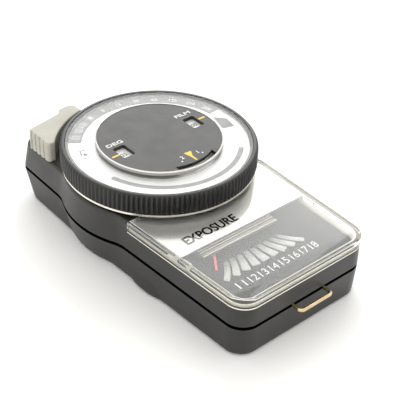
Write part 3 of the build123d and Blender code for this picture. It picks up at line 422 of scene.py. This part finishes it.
def revolved(profile, segments, radius_of):
    """Closed body of revolution from a profile of (radius, z) in millimetres.

    radius_of(index, radius, angle) gives the radius of a profile point at an angle.
    """
    bm = bmesh.new()
    rings = []
    for step in range(segments):
        angle = tau * step / segments
        ring = []
        for index, (radius, z) in enumerate(profile):
            out = radius_of(index, radius, angle)
            ring.append(bm.verts.new((out * cos(angle) * MM, out * sin(angle) * MM, z * MM)))
        rings.append(ring)
    count = len(profile)
    for step in range(segments):
        near, far = rings[step], rings[(step + 1) % segments]
        for index in range(count):
            after = (index + 1) % count
            bm.faces.new((near[index], far[index], far[after], near[after]))
    return bm


def prism(bm, outline, low, high):
    """Closed upright prism from a plan outline and two heights, in millimetres."""
    bottom = [bm.verts.new((x * MM, y * MM, low * MM)) for x, y in outline]
    top = [bm.verts.new((x * MM, y * MM, high * MM)) for x, y in outline]
    bm.faces.new(list(reversed(bottom)))
    bm.faces.new(top)
    for index in range(len(outline)):
        after = (index + 1) % len(outline)
        bm.faces.new((bottom[index], bottom[after], top[after], top[index]))


def tube(bm, rings):
    """Skin along closed rings of vertices, with a face on each end."""
    for first, second in zip(rings, rings[1:]):
        for step in range(len(first)):
            after = (step + 1) % len(first)
            bm.faces.new((first[step], first[after], second[after], second[step]))
    bm.faces.new(rings[0])
    bm.faces.new(rings[-1])


def sector(bm, inner, outer, start, end, low, high):
    """Flat ring sector between two angles in degrees."""
    steps = max(2, int(abs(end - start) / 2) + 1)
    angles = [start + (end - start) * step / steps for step in range(steps + 1)]
    outline = [polar(outer, a) for a in angles] + [polar(inner, a) for a in reversed(angles)]
    prism(bm, outline, low, high)


CAPITAL_SHARE = 0.72  # height of the capitals in the built-in typeface, as a share of its size
BOLD_MOVES = ((0, 0), (-1, 0), (1, 0), (0, -0.7), (0, 0.7))
BOLD_STEP = 0.2  # each bold copy is thicker than the one before, so that no two tops lie in one plane


def lettering(bm, words, height, place, low, thickness, turn=0.0, span=None, bold=0.0):
    """Raised lettering with capitals of the given height, centred on place, in millimetres.

    span stretches it to that width, and bold thickens the strokes with copies moved sideways by that much.
    """
    curve = bpy.data.curves.new("words", "FONT")
    curve.body = words
    curve.size = height / CAPITAL_SHARE
    curve.align_x = "CENTER"
    curve.align_y = "CENTER"
    curve.extrude = thickness / 2
    curve.resolution_u = 4
    holder = bpy.data.objects.new("words", curve)
    plain_words = bpy.data.meshes.new_from_object(holder)
    width = 1.0
    if span:
        across = [vertex.co.x for vertex in plain_words.vertices]
        width = span / (max(across) - min(across))
    turned = Matrix.Rotation(radians(turn), 4, "Z")
    for index, (aside, along) in enumerate(BOLD_MOVES if bold else BOLD_MOVES[:1]):
        mesh = plain_words.copy()
        thick = thickness * (1 + BOLD_STEP * index)
        where = Vector((place[0], place[1], low + thick / 2)) * MM
        shift = Matrix.Translation(Vector((aside * bold * MM, along * bold * MM, 0)))
        size = Matrix.Diagonal((width * MM, MM, MM * thick / thickness, 1))
        mesh.transform(Matrix.Translation(where) @ turned @ shift @ size)
        bm.from_mesh(mesh)
        bpy.data.meshes.remove(mesh)
    bpy.data.meshes.remove(plain_words)
    bpy.data.objects.remove(holder)
    bpy.data.curves.remove(curve)


def shade_by_angle(piece, angle=35.0):
    """Smooth shading that keeps edges sharper than the angle."""
    for face in piece.data.polygons:
        face.use_smooth = True
    piece.data.set_sharp_from_angle(angle=radians(angle))


def size_of(node):
    """Lowest and highest corner of a CAD node in millimetres."""
    low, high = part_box(node)
    return low / MM, high / MM


# ------------------------------------------------------------------ knurled dial ring
RIBS = 130
RIB_DEPTH = 0.62
PER_RIB = 8
KNURL_BOTTOM = 22.4
SLEEVE_RADIUS = 2.95
HUB_RADIUS = 8.0
HUB_BOTTOM = 21.3
WELL_RADIUS = 26.5
WELL_FLOOR = 23.6


def make_dial_ring():
    low, high = size_of("dial_ring")
    crest = high.x
    seat = crest - 1.6
    profile = [
        (1.5, low.z), (SLEEVE_RADIUS, low.z), (SLEEVE_RADIUS, HUB_BOTTOM), (HUB_RADIUS, HUB_BOTTOM),
        (HUB_RADIUS, KNURL_BOTTOM), (crest - 0.9, KNURL_BOTTOM), (crest - 0.18, KNURL_BOTTOM + 0.12),
        (crest, KNURL_BOTTOM + 0.4),
        (crest, high.z - 0.95), (crest - 0.12, high.z - 0.62), (crest - 0.42, high.z - 0.28),
        (crest - 0.68, high.z - 0.06), (crest - 0.9, high.z), (seat + 0.1, high.z), (seat, high.z - 0.12),
        (seat, 26.4), (WELL_RADIUS, 26.4), (WELL_RADIUS, WELL_FLOOR), (1.5, WELL_FLOOR),
    ]
    ribbed = {6: 0.8, 7: 1.0, 8: 1.0, 9: 0.85, 10: 0.3}  # share of the ribs' depth at a profile point

    def radius_of(index, radius, angle):
        phase = (angle * RIBS / tau) % 1.0
        valley = (0.5 - 0.5 * cos(tau * phase)) ** 1.6
        return radius - RIB_DEPTH * ribbed.get(index, 0.0) * valley

    ring = add_piece(
        "knurled_ring", revolved(profile, RIBS * PER_RIB, radius_of), MATERIALS["dial_plastic"], "dial",
        ["dial_ring"],
    )
    shade_by_angle(ring, 40)


# ------------------------------------------------------------------ printing on the dial
PRINT = 0.03  # thickness of a printed mark
OUTER_DISC_DROP = 1.6  # from the raised middle down to the outer scale
DIAL_NUMBERS = ("1", "2", "4", "8", "15", "30", "60", "125", "250", "500")
SPEED_NUMBERS = ("200", "400", "800", "12", "25", "50", "100", "160")
NUMBER_RADIUS = 25.4
FIRST_NUMBER = 136  # angle of the scale's first number, in degrees
NUMBER_PITCH = 13.5
NUMBER_HEIGHT = 1.5
ARC_START, ARC_END = 195, 317
ARC_RADIUS = 23.0
ARC_DRIFT = 1.8  # how much further out the arc lies at its end
ARC_HALF = 0.8
ZONE = (23.4, 27.9, 8, 143)  # inner and outer radius, first and last angle of the dark zone
BOX_ANGLES = (136, 127, 118, 109)
TAB = ((22.7, 1.2), (25.6, -1.9), (24.6, -6.9), (20.6, -5.6))
# A small figure beside the scale: a dot with a short stem, between a bar and an arc.
FIGURE = (
    (22.5, 23.5, 157, 160), (21.2, 22.5, 158.1, 158.9), (22.2, 24.2, 163.0, 163.8), (23.9, 24.3, 153, 160),
    (22.4, 24.1, 152.6, 153.4),
)
FINE_TICKS = 41
FIRST_TICK = 318
TICK_PITCH = 1.15


def make_dial_print():
    plateau = size_of("scale_disc")[1].z
    top = plateau - OUTER_DISC_DROP
    zone_top = top + PRINT * 0.6
    arc = bmesh.new()
    steps = 60
    angles = [ARC_START + (ARC_END - ARC_START) * step / steps for step in range(steps + 1)]
    middle = [ARC_RADIUS + ARC_DRIFT * (step / steps) ** 1.6 for step in range(steps + 1)]
    outline = [polar(r + ARC_HALF, a) for r, a in zip(middle, angles)]
    outline += [polar(r - ARC_HALF, a) for r, a in reversed(list(zip(middle, angles)))]
    prism(arc, outline, top, top + PRINT)
    add_piece("dial_arcs", arc, PRINT_GREY, "dial")
    tab = bmesh.new()
    prism(tab, TAB, top, top + PRINT)
    add_piece("dial_tab", tab, PRINT_TAB, "dial")
    pale = bmesh.new()
    sector(pale, *ZONE, top, zone_top)
    add_piece("dial_zone", pale, PRINT_PALE, "dial")
    boxes = bmesh.new()
    for angle in BOX_ANGLES:
        sector(boxes, 24.2, 26.6, angle - 2.6, angle + 2.6, zone_top, top + PRINT)
    add_piece("dial_boxes", boxes, PRINT_BOX, "dial")
    black = bmesh.new()
    white = bmesh.new()
    for index, number in enumerate(DIAL_NUMBERS):
        angle = FIRST_NUMBER - index * NUMBER_PITCH
        colour = black if index == 0 else white
        place = polar(NUMBER_RADIUS, angle)
        lettering(colour, number, NUMBER_HEIGHT, place, top + PRINT, PRINT, angle - 90)
        sector(white, 27.1, 27.7, angle - 0.35, angle + 0.35, zone_top, top + PRINT)
        sector(black, 21.6, 22.2, angle - 0.25, angle + 0.25, top, top + PRINT)
    add_piece("zone_numbers", white, PRINT_WHITE, "dial")
    for index in range(FINE_TICKS):
        angle = FIRST_TICK + index * TICK_PITCH
        sector(black, 27.2, 27.8, angle - 0.16, angle + 0.16, top + PRINT, top + 2 * PRINT)
    for index, number in enumerate(SPEED_NUMBERS):
        place = polar(13.3, 360 / len(SPEED_NUMBERS) * index)
        lettering(black, number, NUMBER_HEIGHT, place, plateau, PRINT)
    for mark in FIGURE:
        sector(black, *mark, top, top + PRINT)
    add_piece("dial_numbers", black, PRINT_BLACK, "dial")


def make_speed_print():
    base = size_of("speed_disc")[1].z - SPEED_FACE_DROP
    white = bmesh.new()
    lettering(white, "DEG", NUMBER_HEIGHT, (-13.3, 4.7), base, PRINT, span=5.6, bold=0.07)
    lettering(white, "FILM", NUMBER_HEIGHT, (13.4, 5.3), base, PRINT, span=5.6, bold=0.07)
    lettering(white, "2", NUMBER_HEIGHT, (-2.1, -13.2), base, PRINT, bold=0.05)
    lettering(white, "1", NUMBER_HEIGHT, (3.5, -13.6), base, PRINT, bold=0.05)
    for x in (-3.3, 4.5):
        dot = [(x - 0.25, -14.9), (x + 0.25, -14.9), (x + 0.25, -14.4), (x - 0.25, -14.4)]
        prism(white, dot, base, base + PRINT)
    add_piece("speed_labels", white, PRINT_WHITE, "speed_dial")
    yellow = bmesh.new()
    prism(yellow, [(-18.2, -1.05), (-15.6, -1.05), (-15.6, -0.35), (-18.2, -0.35)], base, base + PRINT)
    prism(yellow, [(15.6, -0.1), (18.1, -0.1), (18.1, 0.6), (15.6, 0.6)], base, base + PRINT)
    nail = [(-0.3, -11.6), (0.35, -14.2), (0.45, -16.6), (0.95, -16.6), (1.05, -14.2), (2.3, -11.9)]
    prism(yellow, nail, base, base + PRINT)
    add_piece("speed_index", yellow, PRINT_YELLOW, "speed_dial")


make_dial_ring()
make_dial_print()
make_speed_print()


# ------------------------------------------------------------------ clear cover
COVER_NEAR_HALF = 24.20  # half width at the near end
COVER_CORNER = 6.0
COVER_WALL = 1.5
COVER_SKIN = 1.0
COVER_ROUND = 0.6  # rounding of the top edge outside
COVER_FILLET = 0.4  # the same inside
COVER_STEPS = 12  # in each corner of the plan
# The cement line is also a painted highlight: its pale colour gives the bright line at the cover's foot.
CEMENT = 0.25  # pale line of cement under the cover's walls
PEG_Y = -41.25
PAD_Y, PAD_Z = -36.4, 18.2  # middle of the oval cement pads between the walls and the faceplate
PAD_HALF_LENGTH, PAD_HALF_HEIGHT = 2.3, 0.95


def cover_half(y):
    """Half of the cover's width at a Y: its sides close in towards the near end."""
    low, high = size_of("clear_cover")
    return high.x + (COVER_NEAR_HALF - high.x) * (high.y - y) / (high.y - low.y)


def cover_path(inset):
    """Plan line of the cover's sides and near end, from its far left corner round to its far right."""
    low, high = size_of("clear_cover")
    corner_y = low.y + COVER_CORNER
    corner_x = cover_half(corner_y) - COVER_CORNER
    radius = COVER_CORNER - inset
    turns = [90 * step / COVER_STEPS for step in range(COVER_STEPS + 1)]
    left = [polar(radius, 180 + turn, (-corner_x, corner_y)) for turn in turns]
    right = [polar(radius, 270 + turn, (corner_x, corner_y)) for turn in turns]
    return [(inset - high.x, high.y), *left, *right, (high.x - inset, high.y)]


def swept(bm, profile):
    """Rings of vertices: one for each (inset, z) of the profile, along the cover's line at that inset."""
    return [[bm.verts.new((x * MM, y * MM, z * MM)) for x, y in cover_path(inset)] for inset, z in profile]


def skin_between(bm, first, second):
    for step in range(len(first) - 1):
        bm.faces.new((first[step], first[step + 1], second[step + 1], second[step]))


def make_cover():
    low, high = size_of("clear_cover")
    foot = low.z + CEMENT
    ceiling = high.z - COVER_SKIN
    outer = [(0.16, foot), (0.0, foot + 0.16)]
    for step in range(6):
        outer.append(polar(COVER_ROUND, 180 - 18 * step, (COVER_ROUND, high.z - COVER_ROUND)))
    inner = [(COVER_WALL, foot)]
    for step in range(4):
        middle = (COVER_WALL + COVER_FILLET, ceiling - COVER_FILLET)
        inner.append(polar(COVER_FILLET, 180 - 30 * step, middle))
    bm = bmesh.new()
    outside = swept(bm, outer)
    inside = swept(bm, inner)
    for rings in (outside, inside):
        for first, second in zip(rings, rings[1:]):
            skin_between(bm, first, second)
    skin_between(bm, outside[0], inside[0])
    bm.faces.new(outside[-1])
    bm.faces.new(inside[-1])
    end = [ring[0] for ring in outside] + [ring[-1] for ring in reversed(outside)]
    end += [ring[-1] for ring in inside] + [ring[0] for ring in reversed(inside)]
    bm.faces.new(end)
    for side in (-1, 1):
        peg_post(bm, side, cover_half(PEG_Y) - COVER_WALL - 0.04, foot, ceiling - 0.15)
    cover = add_piece(
        "window_cover", bm, MATERIALS["clear_acrylic"], "casing", ["clear_cover"],
    )
    shade_by_angle(cover)


def peg_post(bm, side, wall, low, high):
    """Moulded peg: a half-round post beside the wall, domed at its top."""
    rings = []
    for shrink, z in ((0.0, low), (0.0, high - 0.35), (0.1, high - 0.12), (0.3, high)):
        width, length = 0.85 - shrink, 2.3 - shrink
        ring = []
        for step in range(13):
            angle = radians(90 + 15 * step)
            x = wall - width + width * (1 + cos(angle))
            ring.append((side * x, PEG_Y + length * sin(angle)))
        rings.append([bm.verts.new((x * MM, y * MM, z * MM)) for x, y in ring])
    tube(bm, rings)


def make_cement():
    """The cover is cemented to the ledge: a pale cement line and bead, made near white so that they also
    paint the bright line at the cover's foot and the pale band that its walls pick up from below.
    """
    low = size_of("clear_cover")[0]
    bm = bmesh.new()
    line = [(0.04, 0.0), (0.04, CEMENT), (COVER_WALL - 0.05, CEMENT), (COVER_WALL - 0.05, 0.0)]
    # Painted highlight: the pale bead inside the walls gives the light band seen in their top edge.
    bead = [
        (COVER_WALL + 0.03, 0.0), (COVER_WALL + 0.03, 1.1), (COVER_WALL + 0.25, 1.2),
        (COVER_WALL + 0.75, 0.5), (COVER_WALL + 0.85, 0.0),
    ]
    for profile in (line, bead):
        rings = swept(bm, [(inset, low.z + rise) for inset, rise in profile])
        count = len(profile)
        for index in range(count):
            skin_between(bm, rings[index], rings[(index + 1) % count])
        bm.faces.new([ring[0] for ring in rings])
        bm.faces.new([ring[-1] for ring in rings])
    wall = cover_half(PAD_Y) - COVER_WALL
    circle = [polar(1.0, 15 * step) for step in range(24)]
    oval = [(PAD_Y + PAD_HALF_LENGTH * u, PAD_Z + PAD_HALF_HEIGHT * v) for u, v in circle]
    for side in (-1, 1):
        depths = (wall - 0.02, wall - 0.16)
        tube(bm, [[bm.verts.new((side * x * MM, y * MM, z * MM)) for y, z in oval] for x in depths])
    add_piece("cover_cement_painted_highlight", bm, CEMENT_PAINTED_HIGHLIGHT, "casing")


make_cover()
make_cement()


# ------------------------------------------------------------------ reading window
SLATS = 9
SLAT_MIDDLE_X = -3.9
SLAT_TOP_PITCH = 2.4
SLAT_TOP_Y = -45.6
SLAT_FOOT_PITCH = 3.7
SLAT_FOOT_Y = -51.9
SLAT_LEAN = 7.0  # degrees from one slat to the next, at the tops
SLAT_FLARE = 12.5  # the same at the feet
SLAT_TOP_WIDTH = 1.65
SLAT_FOOT_WIDTH = 2.7
SLAT_SECTION = ((-0.5, 0.0), (-0.5, 0.5), (-0.28, 0.86), (0.0, 1.0), (0.28, 0.86), (0.5, 0.5), (0.5, 0.0))
CLAMP_RIDGES = ((0.10, 0.20), (1.05, 0.22), (2.75, 0.28))  # distance from the bar's far edge, and width
RIDGE_ENDS = (-17.9, 9.7)
WINDOW_NUMBERS = range(11, 19)
WINDOW_NUMBERS_X = (-16.4, -12.3, -8.5, -4.6, -0.6, 3.4, 7.2, 10.9)


def make_slats():
    """Nine crowned blades that start in a row under the needle's tip and flare out to the numbers."""
    low, high = size_of("scale_slats")
    bm = bmesh.new()
    steps = 14
    for index in range(SLATS):
        step_out = index - (SLATS - 1) / 2
        top = Vector((SLAT_MIDDLE_X + SLAT_TOP_PITCH * step_out, SLAT_TOP_Y))
        foot = Vector((SLAT_MIDDLE_X + SLAT_FOOT_PITCH * step_out, SLAT_FOOT_Y))
        reach = (foot - top).length / 3
        first = top + Vector(polar(reach, 270 + SLAT_LEAN * step_out))
        second = foot - Vector(polar(reach, 270 + SLAT_FLARE * step_out))
        foot_width = SLAT_FOOT_WIDTH * cos(radians(SLAT_FLARE * step_out))
        rings = []
        for step in range(steps + 1):
            t = step / steps
            s = 1 - t
            middle = top * s ** 3 + first * 3 * s * s * t + second * 3 * s * t * t + foot * t ** 3
            along = (first - top) * s * s + (second - first) * 2 * s * t + (foot - second) * t * t
            across = Vector((-along.y, along.x)).normalized()
            width = SLAT_TOP_WIDTH + (foot_width - SLAT_TOP_WIDTH) * t
            if t > 0.93:
                width *= 0.82
            ring = []
            for offset, rise in SLAT_SECTION:
                place = middle - across * width * offset
                z = low.z + (high.z - low.z) * rise
                ring.append(bm.verts.new((place.x * MM, place.y * MM, z * MM)))
            rings.append(ring)
        tube(bm, rings)
    slats = add_piece("scale_blades", bm, slat_enamel(), "casing", ["scale_slats"])
    shade_by_angle(slats, 50)


def slat_enamel():
    """White enamel, with painted shade that darkens it to grey towards the blades' tops, under the window's
    edge.
    """
    n = Nodes("slat_enamel")
    split = n.add("ShaderNodeSeparateXYZ")
    n.link(n.place, split.inputs[0])
    down = n.math("MULTIPLY", split.outputs[1], -1.0)
    # Painted shade: the colour darkens from the blades' feet up to their tops, where the window's edge shades
    # them.
    share = n.spread(down, 0.0, 1.0, -SLAT_TOP_Y * MM, (-SLAT_FOOT_Y - 1.8) * MM)
    uneven = n.math("ADD", share, n.spread(n.noise(1.2, 3.0), -0.08, 0.08))
    colour = n.blend(n.spread(uneven, 0.0, 1.0, 0.0, 1.0), grey(0.05), grey(0.42))
    n.link(colour, n.shader.inputs["Base Color"])
    n.link(n.spread(n.noise(0.6, 3.0, seed=4.0), 0.35, 0.5), n.shader.inputs["Roughness"])
    n.link(n.bump(n.noise(0.2, 3.0), 0.003, 0.5), n.shader.inputs["Normal"])
    return n.material


def make_clamp_ridges():
    """Three cream ridges along the clamp bar, which moves with the button."""
    top = size_of("clamp_bar")[1].z
    bm = bmesh.new()
    far = size_of("faceplate")[0].y - 0.15
    left, right = RIDGE_ENDS
    for drop, width in CLAMP_RIDGES:
        near_edge, far_edge = far - drop - width / 2, far - drop + width / 2
        outline = [(left, near_edge), (right, near_edge), (right, far_edge), (left, far_edge)]
        prism(bm, outline, top - 0.26, top + 0.10)
    bmesh.ops.bevel(bm, geom=bm.edges[:], offset=0.05 * MM, segments=2, affect="EDGES")
    add_piece("clamp_ridges", bm, RIDGE_CREAM, "clamp")


def make_window_print():
    plate = size_of("faceplate")[1].z
    words = bmesh.new()
    lettering(words, "EXPOSURE", 3.3, (-9.2, -34.5), plate, 0.02, span=18.9, bold=0.15)
    add_piece("plate_lettering", words, PRINT_BLACK, "casing")
    scale = size_of("scale_plate")[1].z
    numbers = bmesh.new()
    for number, x in zip(WINDOW_NUMBERS, WINDOW_NUMBERS_X):
        lettering(numbers, str(number), 2.7, (x, -55.3), scale, PRINT, span=2.8)
    add_piece("window_numbers", numbers, PRINT_WHITE, "casing")
    # Painted shade: a thin black line stands in for the shade along the step between the blades and the
    # numbers.
    line = bmesh.new()
    prism(line, [(-19.5, -52.75), (18.5, -52.75), (18.5, -52.5), (-19.5, -52.5)], scale, scale + PRINT)
    add_piece("painted_step_shade", line, PRINT_BLACK, "casing")


make_slats()
make_clamp_ridges()
make_window_print()


# ------------------------------------------------------------------ ribbed window of the light cell
LENS_RIBS = 8
ROWS_PER_RIB = 8
LENS_RIB_DEPTH = 0.28


def make_lens():
    """Rounded clear strip with horizontal prism ribs on its outer face."""
    low, high = size_of("cell_window")
    middle = (low.z + high.z) / 2
    straight = (high.z - low.z) / 2 - 1.0
    rows = LENS_RIBS * ROWS_PER_RIB
    bm = bmesh.new()
    rings = []
    for row in range(rows + 1):
        z = low.z + (high.z - low.z) * row / rows
        over = min(1.0, max(0.0, abs(z - middle) - straight))
        half = high.x - 1.0 + (1 - over * over) ** 0.5
        phase = (row / ROWS_PER_RIB) % 1.0
        front = high.y - LENS_RIB_DEPTH * (1 - sin(phase * tau / 2))
        corners = ((-half, low.y), (-half, front - 0.1), (-half + 0.15, front), (half - 0.15, front),
                   (half, front - 0.1), (half, low.y))
        rings.append([bm.verts.new((x * MM, y * MM, z * MM)) for x, y in corners])
    tube(bm, rings)
    lens = add_piece("ribbed_lens", bm, MATERIALS["lens_plastic"], "casing", ["cell_window"])
    shade_by_angle(lens, 50)


make_lens()


# ------------------------------------------------------------------ floor and light
FLOOR_REACH = 1500.0
FLOOR_DROP = 0.03  # keeps the floor out of the plane of the casing's underside


def make_floor():
    bm = bmesh.new()
    corners = [(x * FLOOR_REACH, y * FLOOR_REACH) for x, y in ((-1, -1), (1, -1), (1, 1), (-1, 1))]
    bm.faces.new([bm.verts.new((x * MM, y * MM, -FLOOR_DROP * MM)) for x, y in corners])
    mesh = bpy.data.meshes.new("floor")
    bm.to_mesh(mesh)
    bm.free()
    paper = surface("floor_paper", grey(0.92), grey(0.94), rough=(0.8, 0.9), patch=60.0, grain=1.0)
    mesh.materials.append(paper)
    floor_piece = bpy.data.objects.new("floor", mesh)
    bpy.context.scene.collection.objects.link(floor_piece)


SOFTBOX_PLACE = (490, 540, 530)
SOFTBOX_AIM = (0, 0, 20)
SOFTBOX_SIZE = 800
SOFTBOX_WATTS = 4.4


def make_softbox():
    data = bpy.data.lights.new("softbox", "AREA")
    data.shape = "SQUARE"
    data.size = SOFTBOX_SIZE * MM
    data.energy = SOFTBOX_WATTS
    lamp = bpy.data.objects.new("softbox", data)
    lamp.location = Vector(SOFTBOX_PLACE) * MM
    direction = Vector(SOFTBOX_AIM) - Vector(SOFTBOX_PLACE)
    lamp.rotation_euler = direction.to_track_quat("-Z", "Y").to_euler()
    bpy.context.scene.collection.objects.link(lamp)


def make_light():
    """An even white room, and one broad softbox behind the meter on its right, mirrored by the top faces."""
    world = bpy.data.worlds.new("studio")
    world.use_nodes = True
    background = world.node_tree.nodes["Background"]
    background.inputs["Color"].default_value = (1.0, 0.992, 0.962, 1)
    background.inputs["Strength"].default_value = 1.2
    bpy.context.scene.world = world
    bpy.context.scene.view_settings.view_transform = "Standard"
    make_softbox()


make_floor()
make_light()
